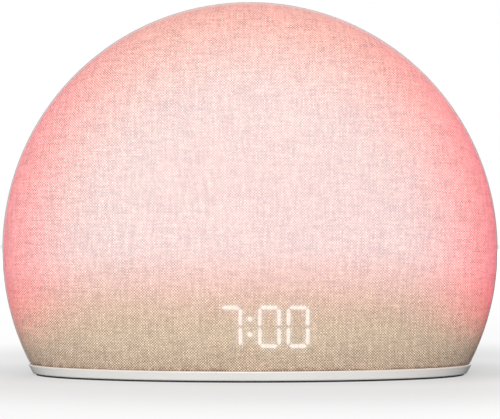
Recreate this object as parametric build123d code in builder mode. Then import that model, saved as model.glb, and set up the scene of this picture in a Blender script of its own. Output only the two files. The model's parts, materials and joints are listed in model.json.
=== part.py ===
"""Sunrise alarm clock: a cloth-covered dome lamp with a clock display, speaker and controls.

Millimetres, +Z up, front towards -Y. The origin is on the table, under the middle of the case.
"""

from build123d import *
import os
from math import cos, hypot, radians, sin, sqrt

os.makedirs("parts", exist_ok=True)

# ---- Overall form -------------------------------------------------------------------------------
dome_radius = 101.5       # round outline of the lamp, at its trim ring
centre_height = 50.75     # centre of that circle above the table
front_depth = 46.0        # bulge of the lit front
rear_depth = 40.0         # bulge of the rear shell
belt_width = 6.0          # straight band between the two bulges
ring_width = 2.0          # trim ring, at the rear edge of the band
ring_proud = 1.2          # trim ring and base, outside the cloth and the rear shell
foot_standoff = 0.65      # rubber that shows below the base
base_band = 3.85          # height of the base that shows below the cloth

# ---- Walls and clearances -----------------------------------------------------------------------
cover_thickness = 0.8     # cloth
cover_fit = 0.1           # cloth to diffuser
diffuser_wall = 2.2
rear_wall = 2.4
pole_angle = 0.3          # degrees round each pole that are flat, too little to see
base_floor = 2.0
clearance = 0.3           # between plastic pieces that are fitted by hand
hole_fit = 0.1            # round a part that sits in its own hole

# ---- Inner frame --------------------------------------------------------------------------------
plate_thickness = 2.5
foot_block_spread = 50.0  # middle of the case to each foot block
foot_block_width = 12.0
foot_block_height = 6.0
foot_block_reach = 9.0    # in front of the plate and behind it
foot_screw_reach = 6.0    # screw's distance from the plate's middle
post_radius = 3.0
ring_land = 5.0           # depth of the trim ring's flat face, measured inwards from its rim

# ---- Lamp chamber -------------------------------------------------------------------------------
shelf_height = 40.0       # white shelf between lamp chamber and display
shelf_thickness = 1.6
shelf_tab_width = 10.0
shelf_tab_pitch = 45.0
led_board_radius = 70.0
led_board_bottom = 46.0
led_window_height = 56.0  # its connector's middle
board_thickness = 1.6
led_screw_inset = 6.0     # from the lamp board's rim
led_ring_pitch = 20.5
led_rings = 3
leds_in_first_ring = 3    # and as many more in each ring outside it
led_arc_start = 15.0      # degrees above the middle line
led_arc = 150.0
led_size = 5.0
led_height = 1.6
lens_radius = 1.9
lens_proud = 0.1

# ---- Display ------------------------------------------------------------------------------------
digit_height = 16.4
digit_width = 8.9
stroke = 1.45
segment_gap = 0.25        # from a segment's tip to the corner where two segments would meet
digit_pitch = 11.1        # within a pair of digits
colon_offset = 7.46       # colon to the middle of the digit beside it
colon_dot = 1.9
colon_pitch = 6.0
display_rise = 17.4       # middle of the digits above the base band
baffle_length = 54.0
baffle_height = 25.0
display_board_length = 66.0
display_board_height = 26.0
display_board_front = -34.0
display_post_spread = 30.0
display_post_pitch = 18.0
chip_size = 1.6
chip_height = 0.7

# ---- Speaker ------------------------------------------------------------------------------------
speaker_rise = 27.25      # speaker's axis above the dome's centre
collar_outer = 31.0       # collar of the rear shell that the speaker is screwed to
collar_inner = 26.5
collar_reach = 1.9        # shortest stretch of that collar
grille_cloth = 0.4
flange_thickness = 1.5
basket_mouth = 23.0
surround_width = 5.0
coil_radius = 6.6
coil_wall = 0.5
coil_gap = 0.5            # running gap inside and outside the coil
basket_depth = 12.5
basket_rim = 3.5          # straight part of the basket, from its seat
basket_wall = 1.5
basket_window_length = 18.0
basket_window_width = 4.5
cone_depth = 6.5
cone_wall = 0.5
cone_travel = 1.0
magnet_radius = 15.5
magnet_height = 6.0
magnet_edge = 0.5
yoke_plate = 2.0
enclosure_gap = 1.0       # collar to enclosure
enclosure_wall = 1.6
enclosure_depth = 28.0
grille_hole_radius = 1.1
grille_hole_pitch = 4.4
grille_rings = 4
terminal_offset = 14.0    # beside the speaker's axis
terminal_drop = 25.0      # below it
terminal_length = 6.0
terminal_height = 3.0
speaker_cable_y = 13.0
enclosure_hole_fit = 0.5

# ---- Main board and DC inlet --------------------------------------------------------------------
main_board_length = 104.0
main_board_height = 32.0
main_board_lift = 5.0     # above the base band
main_board_front = 28.0
main_screw_inset = 4.5
lead_margin = 0.2         # outermost connector to the screw head beside it
capacitor_inset = 10.0    # from the board's end
standoff_radius = 3.0
inlet_rise = 15.5         # inlet's axis above the base band
inlet_radius = 4.2
inlet_bore = 2.85
inlet_pin_radius = 1.0
inlet_depth = 9.5
inlet_face = 43.0
inlet_nose = 3.0
inlet_body_width = 9.0
inlet_body_height = 11.0
inlet_edge = 0.5

# ---- Top buttons --------------------------------------------------------------------------------
button_length = 21.2
button_width = 9.2
button_spread = 15.5      # middle of the case to each button
button_set_back = 7.0     # behind the trim ring
button_proud = 0.8
button_gap = 0.4
button_travel = 0.6
button_lip = 1.4          # flange that keeps the button in the shell
button_lip_thickness = 1.2
button_board_length = 72.0
button_board_width = 11.0
button_board_drop = 4.7   # shortest screw boss above the board
spring_space = 5.0        # board to the underside of the button
spring_radius = 3.7
spring_wire = 0.5
spring_turns = 4
switch_size = 4.2
switch_height = 1.8
plunger_radius = 1.0
plunger_rise = 0.8
plunger_sunk = 0.9
stem_radius = 1.9

# ---- Rear rockers -------------------------------------------------------------------------------
rocker_length = 20.0
rocker_width = 8.0
rocker_gap = 0.6
rocker_spread = 36.0
rocker_rise = 21.5        # rocker's middle above the base band
rocker_proud = 0.7
rocker_switch_pitch = 14.0
rocker_switch_gap = 0.5   # rocker to plunger, at rest
hinge_behind_board = 6.4  # hinge pin behind the board's rear face
hinge_pin_radius = 0.8
hinge_fit = 0.05
lug_thickness = 1.6

# ---- Screws and cables --------------------------------------------------------------------------
screw_radius = 1.15
screw_fit = 0.1
head_ratio = 2.0          # screw head to shank
head_height_ratio = 1.3
recess_ratio = 0.6        # width of the cross recess to the shank's radius
boss_radius = 3.5
boss_height = 4.8
pilot_spare = 1.2         # hole beyond the tip of its screw
screw_tube_wall = 1.5
case_screw_inset = 20.0   # from the shell's outline
case_seat = 4.0           # material under the head of a case screw
diffuser_screw_inset = 13.0
cable_radius = 1.0
connector_length = 10.0
connector_height = 5.0
connector_depth = 5.0
connector_inset = 0.5     # from the board's top edge

# ---- Places worked out from these ---------------------------------------------------------------
shell_radius = dome_radius - ring_proud
belt_front = (front_depth - belt_width - rear_depth) / 2
belt_rear = belt_front + belt_width
ring_front = belt_rear - ring_width
base_top = foot_standoff + base_band
floor_bottom = 2 * foot_standoff
floor_top = floor_bottom + base_floor
diffuser_outset = cover_thickness + cover_fit
diffuser_inset = diffuser_outset + diffuser_wall
frame_inset = diffuser_inset + clearance
plate_rear = ring_front - cover_thickness
plate_front = plate_rear - plate_thickness
plate_middle = plate_rear - plate_thickness / 2
head_radius = screw_radius * head_ratio
head_height = screw_radius * head_height_ratio
screw_hole = screw_radius + screw_fit
case_seat_front = plate_rear + boss_height
case_seat_rear = case_seat_front + case_seat


def rear_y(x, z, inset=0.0):
    """Y of the rear bulge, drawn in by inset, over the point (x, z)."""
    share = hypot(x, z - centre_height) / (shell_radius - inset)
    return belt_rear + (rear_depth - inset) * sqrt(1 - share**2)


def top_z(x, y, inset=0.0):
    """Z of the top of the rear bulge, drawn in by inset, over the point (x, y)."""
    share = (y - belt_rear) / (rear_depth - inset)
    radius = (shell_radius - inset) * sqrt(1 - share**2)
    return centre_height + sqrt(radius**2 - x**2)


def pole(radius, depth, start, side):
    """(radius, y) where a quarter ellipse stops, at the rim of the small flat at its pole."""
    return radius * sin(radians(pole_angle)), start + side * depth * cos(radians(pole_angle))


def bulge(radius, depth, start, side):
    """Quarter ellipse of a bulge, from the belt to its pole: side is -1 in front, 1 behind."""
    first = 0 if side > 0 else 270 + pole_angle
    EllipticalCenterArc((0, start), radius, depth, start_angle=first, arc_size=90 - pole_angle)


def dome(inset):
    """The whole case as one solid of revolution about its front-to-rear axis, drawn in by inset."""
    radius = shell_radius - inset
    front = front_depth - inset
    rear = rear_depth - inset
    front_pole = pole(radius, front, belt_front, -1)
    rear_pole = pole(radius, rear, belt_rear, 1)
    with BuildPart() as body:
        with BuildSketch(Plane.XY.offset(centre_height)):
            with BuildLine():
                bulge(radius, front, belt_front, -1)
                Line((radius, belt_front), (radius, belt_rear))
                bulge(radius, rear, belt_rear, 1)
                Polyline(rear_pole, (0, rear_pole[1]), (0, front_pole[1]), front_pole)
            make_face()
        revolve(axis=Axis((0, 0, centre_height), (0, 1, 0)))
    return body.part


def bowl(outer, inner, edge, side):
    """Shell between two insets, from its pole to the edge at y, above the base."""
    start, depth = (belt_front, front_depth) if side < 0 else (belt_rear, rear_depth)
    outer_pole = pole(shell_radius - outer, depth - outer, start, side)
    inner_pole = pole(shell_radius - inner, depth - inner, start, side)
    with BuildPart() as body:
        with BuildSketch(Plane.XY.offset(centre_height)):
            with BuildLine():
                bulge(shell_radius - outer, depth - outer, start, side)
                bulge(shell_radius - inner, depth - inner, start, side)
                Polyline(outer_pole, (0, outer_pole[1]), (0, inner_pole[1]), inner_pole)
                if edge == start:
                    Line((shell_radius - outer, start), (shell_radius - inner, start))
                else:
                    Polyline((shell_radius - outer, start), (shell_radius - outer, edge),
                             (shell_radius - inner, edge), (shell_radius - inner, start))
            make_face()
        revolve(axis=Axis((0, 0, centre_height), (0, 1, 0)))
        split(bisect_by=Plane.XY.offset(base_top), keep=Keep.TOP)
    return body.part


def footprint(height, inset):
    """Outline of the base at a height, drawn in by inset, as a sketch at that height."""
    share = sqrt(1 - ((height - centre_height) / dome_radius) ** 2)
    half = dome_radius * share - inset
    front = (front_depth + ring_proud) * share - inset
    rear = (rear_depth + ring_proud) * share - inset
    with BuildSketch(Plane.XY.offset(height)) as outline:
        with BuildLine():
            EllipticalCenterArc((0, belt_front), half, front, start_angle=180, arc_size=180)
            Line((half, belt_front), (half, belt_rear))
            EllipticalCenterArc((0, belt_rear), half, rear, start_angle=0, arc_size=180)
            Line((-half, belt_rear), (-half, belt_front))
        make_face()
    return outline.sketch


def upright(y):
    """Plane across the case at y, whose sketches are drawn in (x, z) and extrude to the front."""
    return Plane.XZ.offset(-y)


def rearward(y):
    """Plane across the case at y, whose sketches are drawn in (-x, z) and extrude to the rear."""
    return Plane(origin=(0, y, 0), x_dir=(-1, 0, 0), z_dir=(0, 1, 0))


def downward(z):
    """Plane at z whose sketches are drawn in (x, -y) and extrude down."""
    return Plane(origin=(0, 0, z), x_dir=(1, 0, 0), z_dir=(0, 0, -1))


def from_below(places):
    """The same (x, y) places, as a downward plane reads them."""
    return [(x, -y) for x, y in places]


def mirrored(places):
    """The same (x, z) places, as a rearward plane reads them."""
    return [(-x, z) for x, z in places]


def discs(plane, places, radius):
    """One disc at each place of the plane."""
    with BuildSketch(plane) as group:
        with Locations(*places):
            Circle(radius)
    return group.sketch


def blocks(plane, places, width, height):
    """One rectangle at each place of the plane."""
    with BuildSketch(plane) as group:
        with Locations(*places):
            Rectangle(width, height)
    return group.sketch


def screws(plane, places, length):
    """Screws whose heads stand on the plane's upper side and whose shanks run down from it."""
    slot_width = screw_radius * recess_ratio
    slot_depth = head_height / 2
    with BuildPart() as group:
        extrude(discs(plane, places, head_radius), amount=head_height)
        extrude(blocks(plane.offset(head_height), places, head_radius, slot_width),
                amount=-slot_depth, mode=Mode.SUBTRACT)
        extrude(blocks(plane.offset(head_height), places, slot_width, head_radius),
                amount=-slot_depth, mode=Mode.SUBTRACT)
        extrude(discs(plane, places, screw_radius), amount=-length)
    return group.part


def turned(points, height):
    """Solid turned about the front-to-rear line at a height, from (radius, y) points."""
    with BuildPart() as body:
        with BuildSketch(Plane.XY.offset(height)):
            with BuildLine():
                Polyline(*points, close=True)
            make_face()
        revolve(axis=Axis((0, 0, height), (0, 1, 0)))
    return body.part


def ring(y, depth, inner, outer, height):
    """Flat ring about the front-to-rear line at a height, from y to y + depth."""
    with BuildPart() as body:
        with BuildSketch(upright(y)):
            with Locations((0, height)):
                Circle(outer)
                Circle(inner, mode=Mode.SUBTRACT)
        extrude(amount=-depth)
    return body.part


def cable(name, points, bends):
    """Round cable along straight runs that are joined by tangent arcs."""
    with BuildPart() as run:
        with BuildLine() as route:
            FilletPolyline(*points, radius=bends)
        path = route.wire()
        with BuildSketch(Plane(origin=path @ 0, z_dir=path % 0)):
            Circle(cable_radius)
        sweep()
    print(f"{name}: {path.length:.1f} mm long, bends {[round(bend, 1) for bend in bends]}")
    return run.part


def finish(piece, name):
    """Label a piece and write its file."""
    piece.part.label = name
    export_step(piece.part, f"parts/{name}.step")


# ---- Base ---------------------------------------------------------------------------------------
foot_screw_places = [
    (side * foot_block_spread, plate_middle + reach)
    for side in (-1, 1)
    for reach in (-foot_screw_reach, foot_screw_reach)
]
tongue_height = base_top + base_band
tongue_half_length = 60.0
tongue_thickness = 1.6
base_edge_fillet = 0.8
seam_edge_fillet = 0.5              # along the cloth, where the base stands proud of it
pad_inset = 1.0
pad_fit = 0.2

with BuildPart() as tongues:
    # two lips that locate the front and the rear of the case
    add(dome(frame_inset))
    add(dome(frame_inset + tongue_thickness), mode=Mode.SUBTRACT)
    split(bisect_by=Plane.XY.offset(floor_top), keep=Keep.TOP)
    split(bisect_by=Plane.XY.offset(tongue_height), keep=Keep.BOTTOM)
    split(bisect_by=Plane.YZ.offset(tongue_half_length), keep=Keep.BOTTOM)
    split(bisect_by=Plane.YZ.offset(-tongue_half_length), keep=Keep.TOP)

with BuildPart() as pan_cavity:
    add(dome(diffuser_inset))
    split(bisect_by=Plane.XY.offset(floor_top), keep=Keep.TOP)

with BuildPart() as base_pan:
    add(dome(-ring_proud))
    split(bisect_by=Plane.XY.offset(foot_standoff), keep=Keep.TOP)
    split(bisect_by=Plane.XY.offset(base_top), keep=Keep.BOTTOM)
    fillet(base_pan.edges().group_by(Axis.Z)[0], radius=base_edge_fillet)
    fillet(base_pan.edges().group_by(Axis.Z)[-1], radius=seam_edge_fillet)
    add(pan_cavity.part, mode=Mode.SUBTRACT)
    extrude(footprint(foot_standoff, pad_inset), amount=floor_bottom - foot_standoff, mode=Mode.SUBTRACT)
    with Locations(downward(floor_bottom)):
        with Locations(*from_below(foot_screw_places)):
            CounterSinkHole(screw_hole, head_radius, depth=base_floor)
    add(tongues.part)
finish(base_pan, "base_pan")

with BuildPart() as foot_pad:
    # rubber pad, glued into the recess under the base
    extrude(footprint(foot_standoff, pad_inset + pad_fit), amount=floor_bottom - foot_standoff)
    extrude(footprint(foot_standoff, pad_inset + pad_fit), amount=-foot_standoff)
finish(foot_pad, "foot_pad")

with BuildPart() as base_screws:
    # countersunk screws, up through the base into the frame's feet
    with Locations(*[(x, y, floor_bottom) for x, y in foot_screw_places]):
        Cone(head_radius - screw_fit, screw_radius, head_radius - screw_radius,
             align=(Align.CENTER, Align.CENTER, Align.MIN))
        Cylinder(screw_radius, base_floor + foot_block_height - clearance,
                 align=(Align.CENTER, Align.CENTER, Align.MIN))
finish(base_screws, "base_screws")

# ---- Inner frame --------------------------------------------------------------------------------
display_height = base_top + display_rise
main_board_bottom = base_top + main_board_lift
case_screw_radius = shell_radius - case_screw_inset
diffuser_screw_radius = shell_radius - diffuser_screw_inset
case_screw_angles = (-15, 50, 130, 195)
diffuser_screw_angles = (-20, 25, 75, 105, 155, 200)
display_post_places = [
    (side * display_post_spread, display_height + rise)
    for side in (-1, 1)
    for rise in (-display_post_pitch / 2, display_post_pitch / 2)
]
led_screw_angles = (20, 65, 115, 160)
led_screw_radius = led_board_radius - led_screw_inset
shelf_tabs = [(i * shelf_tab_pitch, shelf_height + shelf_thickness / 2) for i in (-1, 0, 1)]


def around(radius, angles):
    """(x, z) places on a circle about the dome's centre."""
    circle = Vector(radius, 0, 0)
    turns = [circle.rotate(Axis.Z, angle) for angle in angles]
    return [(turn.X, turn.Y + centre_height) for turn in turns]


case_screw_places = around(case_screw_radius, case_screw_angles)
diffuser_screw_places = around(diffuser_screw_radius, diffuser_screw_angles)
led_screw_places = around(led_screw_radius, led_screw_angles)

# where the lamp board's connector passes the plate, above its plug on the main board
led_window = (
    -(main_board_length / 2 - main_screw_inset - head_radius - lead_margin - connector_length / 2),
    led_window_height,
)
display_slot = (14.0, 24.0)         # where the display's cable passes the plate
window_margin = 2.0
display_slot_length = 12.0

with BuildPart() as inner_frame:
    # plate across the case, standing on the base
    with BuildSketch(upright(plate_rear)):
        with Locations((0, centre_height)):
            Circle(shell_radius - frame_inset)
    extrude(amount=plate_thickness)
    split(bisect_by=Plane.XY.offset(floor_top), keep=Keep.TOP)
    # feet
    with BuildSketch(Plane.XY.offset(floor_top)):
        with Locations((-foot_block_spread, plate_middle), (foot_block_spread, plate_middle)):
            Rectangle(foot_block_width, plate_thickness + 2 * foot_block_reach)
    extrude(amount=foot_block_height)
    # bosses for the case screws, and posts that carry the display
    extrude(discs(upright(plate_rear), case_screw_places, boss_radius), amount=-boss_height)
    extrude(discs(upright(plate_front), display_post_places, post_radius),
            amount=plate_front - display_board_front - board_thickness)
    # holes
    extrude(discs(upright(case_seat_front), case_screw_places, screw_hole),
            amount=boss_height + plate_thickness / 2, mode=Mode.SUBTRACT)
    extrude(discs(upright(plate_rear), diffuser_screw_places, screw_hole),
            amount=plate_thickness, mode=Mode.SUBTRACT)
    extrude(discs(upright(display_board_front), display_post_places, screw_hole),
            amount=-(board_thickness + boss_height + pilot_spare), mode=Mode.SUBTRACT)
    extrude(discs(upright(plate_rear), led_screw_places, screw_hole),
            amount=plate_thickness, mode=Mode.SUBTRACT)
    extrude(discs(Plane.XY.offset(floor_top), foot_screw_places, screw_hole),
            amount=foot_block_height - clearance / 2, mode=Mode.SUBTRACT)
    extrude(blocks(upright(plate_rear), shelf_tabs, shelf_tab_width + 2 * hole_fit,
                   shelf_thickness + 2 * hole_fit), amount=plate_thickness, mode=Mode.SUBTRACT)
    extrude(blocks(upright(plate_rear), [led_window], connector_length + window_margin,
                   connector_height + window_margin), amount=plate_thickness, mode=Mode.SUBTRACT)
    extrude(blocks(upright(plate_rear), [display_slot], connector_length - window_margin,
                   display_slot_length), amount=plate_thickness, mode=Mode.SUBTRACT)
finish(inner_frame, "inner_frame")

# ---- Cloth, diffuser and trim ring --------------------------------------------------------------
hem_radius = shell_radius - diffuser_inset

with BuildPart() as fabric_cover:
    # cloth over the front, with its hem turned in between diffuser and trim ring
    add(bowl(0, cover_thickness, ring_front, -1))
    add(ring(plate_rear, cover_thickness, hem_radius, shell_radius - cover_thickness / 2, centre_height))
    split(bisect_by=Plane.XY.offset(base_top), keep=Keep.TOP)
finish(fabric_cover, "fabric_cover")

with BuildPart() as diffuser_shell:
    # opal shell; its screw bosses stand on the frame's plate
    extrude(discs(upright(plate_front), diffuser_screw_places, boss_radius), amount=front_depth)
    add(dome(diffuser_outset + diffuser_wall / 2), mode=Mode.INTERSECT)
    add(bowl(diffuser_outset, diffuser_inset, plate_rear, -1))
    extrude(discs(upright(plate_front), diffuser_screw_places, screw_hole),
            amount=boss_height + clearance, mode=Mode.SUBTRACT)
finish(diffuser_shell, "diffuser_shell")

with BuildPart() as diffuser_screws:
    add(screws(rearward(plate_rear), mirrored(diffuser_screw_places),
               plate_thickness + boss_height))
finish(diffuser_screws, "diffuser_screws")

ring_edge_fillet = 0.3
with BuildPart() as trim_ring:
    # ring that clamps the cloth's hem; its rim is the thin line round the case
    add(ring(ring_front, ring_width, dome_radius - ring_land, dome_radius, centre_height))
    split(bisect_by=Plane.XY.offset(base_top), keep=Keep.TOP)
    rims = trim_ring.edges().filter_by(GeomType.CIRCLE).group_by(SortBy.RADIUS)[-1]
    fillet(rims, radius=ring_edge_fillet)
finish(trim_ring, "trim_ring")

# ---- Lamp ---------------------------------------------------------------------------------------
with BuildPart() as light_shelf:
    # shelf across the front, held by tabs in the plate's slots
    add(dome(diffuser_inset + 2 * clearance))
    split(bisect_by=Plane.XY.offset(shelf_height), keep=Keep.TOP)
    split(bisect_by=Plane.XY.offset(shelf_height + shelf_thickness), keep=Keep.BOTTOM)
    split(bisect_by=upright(plate_front), keep=Keep.TOP)
    extrude(blocks(upright(plate_front), shelf_tabs, shelf_tab_width, shelf_thickness),
            amount=-(plate_thickness + clearance))
finish(light_shelf, "light_shelf")

with BuildPart() as led_board:
    with BuildSketch(upright(plate_front)):
        with Locations((0, centre_height)):
            Circle(led_board_radius)
        with Locations((0, led_board_bottom)):
            Rectangle(4 * led_board_radius, 2 * led_board_radius, align=(Align.CENTER, Align.MAX),
                      mode=Mode.SUBTRACT)
        with Locations(*led_screw_places):
            Circle(screw_hole, mode=Mode.SUBTRACT)
    extrude(amount=board_thickness)
finish(led_board, "led_board")
led_face = plate_front - board_thickness

with BuildPart() as led_packages:
    # rings of lamp packages, each with a round lens
    for count in range(1, led_rings + 1):
        number = leds_in_first_ring * count
        angles = [led_arc_start + led_arc * i / (number - 1) for i in range(number)]
        places = around(count * led_ring_pitch, angles)
        extrude(blocks(upright(led_face), places, led_size, led_size), amount=led_height)
        extrude(discs(upright(led_face), places, lens_radius), amount=led_height + lens_proud)
finish(led_packages, "led_packages")

with BuildPart() as led_board_screws:
    add(screws(upright(led_face), led_screw_places, board_thickness + plate_thickness))
finish(led_board_screws, "led_board_screws")

# ---- Display ------------------------------------------------------------------------------------
display_board_rear = display_board_front + board_thickness
digit_places = [
    -colon_offset - digit_pitch,
    -colon_offset,
    colon_offset,
    colon_offset + digit_pitch,
]
segment_reach_x = (digit_width - stroke) / 2
segment_reach_z = (digit_height - stroke) / 2
lit_segments = ("", "abc", "abcdef", "abcdef")


def segment(across, up, length, angle):
    """(middle, length, angle) of one bar, from its place in a digit."""
    return across * segment_reach_x, up * segment_reach_z, length, angle


segments = {
    "a": segment(0, 1, 2 * segment_reach_x, 0),
    "b": segment(1, 0.5, segment_reach_z, 90),
    "c": segment(1, -0.5, segment_reach_z, 90),
    "d": segment(0, -1, 2 * segment_reach_x, 0),
    "e": segment(-1, -0.5, segment_reach_z, 90),
    "f": segment(-1, 0.5, segment_reach_z, 90),
    "g": segment(0, 0, 2 * segment_reach_x, 0),
}


def bars(plane, chosen, grow):
    """Outlines of the chosen segments of each digit, each wider than the bar by grow all round."""
    half = stroke / 2 + grow
    with BuildSketch(plane) as group:
        for middle, letters in zip(digit_places, chosen):
            for letter in letters:
                across, up, span, angle = segments[letter]
                tip = span / 2 - segment_gap + grow * sqrt(2)
                with Locations(Location((middle + across, display_height + up, 0), angle)):
                    Polygon((-tip, 0), (-tip + half, half), (tip - half, half),
                            (tip, 0), (tip - half, -half), (-tip + half, -half), align=None)
    return group.sketch


dark_segments = ["".join(sorted(set("abcdefg") - set(lit))) for lit in lit_segments]
colon_places = [(0, display_height - colon_pitch / 2), (0, display_height + colon_pitch / 2)]
guide_fit = 0.05
guide_rear = display_board_front - chip_height - guide_fit

with BuildPart() as display_board:
    with BuildSketch(upright(display_board_rear)):
        with Locations((0, display_height)):
            Rectangle(display_board_length, display_board_height)
        with Locations(*display_post_places):
            Circle(screw_hole, mode=Mode.SUBTRACT)
    extrude(amount=board_thickness)
finish(display_board, "display_board")

with BuildPart() as display_leds:
    # one chip behind each bar and each dot
    with BuildSketch(upright(display_board_front)):
        for middle in digit_places:
            for across, up, span, angle in segments.values():
                with Locations((middle + across, display_height + up)):
                    Rectangle(chip_size - stroke / 2, chip_size - stroke / 2)
        with Locations(*colon_places):
            Rectangle(chip_size - stroke / 2, chip_size - stroke / 2)
    extrude(amount=chip_height)
finish(display_leds, "display_leds")

with BuildPart() as display_baffle:
    # black block between board and diffuser, with a light well for each bar
    with BuildSketch(upright(display_board_front)):
        with Locations((0, display_height)):
            Rectangle(baffle_length, baffle_height)
    extrude(amount=front_depth)
    add(dome(diffuser_inset + clearance), mode=Mode.INTERSECT)
    extrude(bars(upright(display_board_front), ["abcdefg"] * 4, guide_fit), amount=front_depth,
            mode=Mode.SUBTRACT)
    extrude(discs(upright(display_board_front), colon_places, colon_dot / 2 + guide_fit),
            amount=front_depth, mode=Mode.SUBTRACT)
finish(display_baffle, "display_baffle")

guide_skin = dome(diffuser_inset + clearance)
with BuildPart() as lit_guides:
    # clear light guides of the bars and dots that read 7:00
    extrude(bars(upright(guide_rear), lit_segments, 0), amount=front_depth)
    extrude(discs(upright(guide_rear), colon_places, colon_dot / 2), amount=front_depth)
    add(guide_skin, mode=Mode.INTERSECT)
finish(lit_guides, "lit_guides")

with BuildPart() as dark_guides:
    extrude(bars(upright(guide_rear), dark_segments, 0), amount=front_depth)
    add(guide_skin, mode=Mode.INTERSECT)
finish(dark_guides, "dark_guides")

with BuildPart() as display_screws:
    add(screws(upright(display_board_front), display_post_places, board_thickness + boss_height))
finish(display_screws, "display_screws")

# ---- Speaker ------------------------------------------------------------------------------------
speaker_height = centre_height + speaker_rise
cloth_rear = rear_y(0, speaker_height + collar_outer, rear_wall) - collar_reach
speaker_seat = cloth_rear - grille_cloth
speaker_screw_radius = (collar_inner + collar_outer) / 2
speaker_screw_places = [
    (speaker_screw_radius * across / sqrt(2), speaker_height + speaker_screw_radius * up / sqrt(2))
    for across in (-1, 1)
    for up in (-1, 1)
]
basket_floor = speaker_seat - basket_depth
pole_hole = coil_radius + coil_wall + coil_gap
pole_radius = coil_radius - coil_gap
plate_radius = magnet_radius - basket_wall
cone_mouth = basket_mouth - surround_width
cone_neck = coil_radius + coil_wall
cone_rear = speaker_seat - flange_thickness - cone_travel
cone_front = cone_rear - cone_depth

with BuildPart() as speaker_basket:
    # pressed frame: flange, conical wall with four windows, and floor
    add(turned([
        (basket_mouth, speaker_seat),
        (collar_outer, speaker_seat),
        (collar_outer, speaker_seat - flange_thickness),
        (basket_mouth + basket_wall, speaker_seat - flange_thickness),
        (basket_mouth + basket_wall, speaker_seat - basket_rim),
        (plate_radius, basket_floor),
        (pole_hole, basket_floor),
        (pole_hole, basket_floor + basket_wall),
        (plate_radius - basket_wall / 2, basket_floor + basket_wall),
        (basket_mouth, speaker_seat - basket_rim),
    ], speaker_height))
    with BuildSketch(upright(speaker_seat - basket_rim)):
        with Locations((0, speaker_height)):
            with PolarLocations((plate_radius + basket_mouth) / 2 + basket_wall, 4):
                SlotOverall(basket_window_length, basket_window_width, rotation=90)
    extrude(amount=basket_depth - basket_rim - 2 * basket_wall, mode=Mode.SUBTRACT)
    extrude(discs(upright(speaker_seat), speaker_screw_places, screw_hole),
            amount=flange_thickness, mode=Mode.SUBTRACT)
finish(speaker_basket, "speaker_basket")

with BuildPart() as speaker_magnet:
    add(ring(basket_floor - magnet_height, magnet_height, pole_hole + basket_wall, magnet_radius,
             speaker_height))
    fillet(speaker_magnet.edges().filter_by(GeomType.CIRCLE).group_by(SortBy.RADIUS)[-1],
           radius=magnet_edge)
finish(speaker_magnet, "speaker_magnet")

with BuildPart() as speaker_yoke:
    # back plate with the pole that stands inside the coil
    add(turned([
        (0, basket_floor - magnet_height - yoke_plate),
        (plate_radius, basket_floor - magnet_height - yoke_plate),
        (plate_radius, basket_floor - magnet_height),
        (pole_radius, basket_floor - magnet_height),
        (pole_radius, basket_floor + basket_wall),
        (0, basket_floor + basket_wall),
    ], speaker_height))
finish(speaker_yoke, "speaker_yoke")

with BuildPart() as voice_coil:
    add(ring(basket_floor - cone_travel, cone_front - basket_floor + cone_travel, coil_radius,
             coil_radius + coil_wall, speaker_height))
finish(voice_coil, "voice_coil")

with BuildPart() as speaker_cone:
    add(turned([
        (coil_radius, cone_front),
        (cone_neck, cone_front),
        (cone_mouth, cone_rear - cone_wall),
        (cone_mouth, cone_rear),
        (cone_neck, cone_front + cone_wall),
        (coil_radius, cone_front + cone_wall),
    ], speaker_height))
finish(speaker_cone, "speaker_cone")

cap_radius = cone_neck
cap_rise = cone_neck / 2
cap_bottom = cone_front + cone_wall
cap_outer = pole(cap_radius, cap_rise, cap_bottom, 1)
cap_inner = pole(cap_radius - cone_wall, cap_rise - cone_wall, cap_bottom, 1)
with BuildPart() as dust_cap:
    with BuildSketch(Plane.XY.offset(speaker_height)):
        with BuildLine():
            bulge(cap_radius, cap_rise, cap_bottom, 1)
            bulge(cap_radius - cone_wall, cap_rise - cone_wall, cap_bottom, 1)
            Polyline(cap_outer, (0, cap_outer[1]), (0, cap_inner[1]), cap_inner)
            Line((cap_radius - cone_wall, cap_bottom), (cap_radius, cap_bottom))
        make_face()
    revolve(axis=Axis((0, 0, speaker_height), (0, 1, 0)))
finish(dust_cap, "dust_cap")

roll_inner = cone_mouth + screw_fit
roll_outer = basket_mouth - screw_fit
roll_middle = (roll_inner + roll_outer) / 2
roll_radius = (roll_outer - roll_inner) / 2
with BuildPart() as speaker_surround:
    # half-roll of rubber between cone and basket
    with BuildSketch(Plane.XY.offset(speaker_height)):
        with BuildLine():
            CenterArc((roll_middle, cone_rear - cone_wall), roll_radius, 0, 180)
            Line((roll_inner, cone_rear - cone_wall), (roll_inner + cone_wall, cone_rear - cone_wall))
            CenterArc((roll_middle, cone_rear - cone_wall), roll_radius - cone_wall, 0, 180)
            Line((roll_outer - cone_wall, cone_rear - cone_wall), (roll_outer, cone_rear - cone_wall))
        make_face()
    revolve(axis=Axis((0, 0, speaker_height), (0, 1, 0)))
finish(speaker_surround, "speaker_surround")

spider_seat = basket_floor + basket_wall + cone_travel
basket_slope = (basket_mouth - plate_radius + basket_wall / 2) / (
    basket_depth - basket_rim - basket_wall
)
spider_radius = plate_radius - basket_wall / 2 + cone_travel * basket_slope - screw_fit
with BuildPart() as speaker_spider:
    # flexible disc that centres the coil
    add(ring(spider_seat, cone_wall, cone_neck + screw_fit, spider_radius, speaker_height))
finish(speaker_spider, "speaker_spider")

with BuildPart() as speaker_screws:
    add(screws(upright(speaker_seat - flange_thickness), speaker_screw_places,
               flange_thickness + grille_cloth + collar_reach))
finish(speaker_screws, "speaker_screws")

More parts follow.
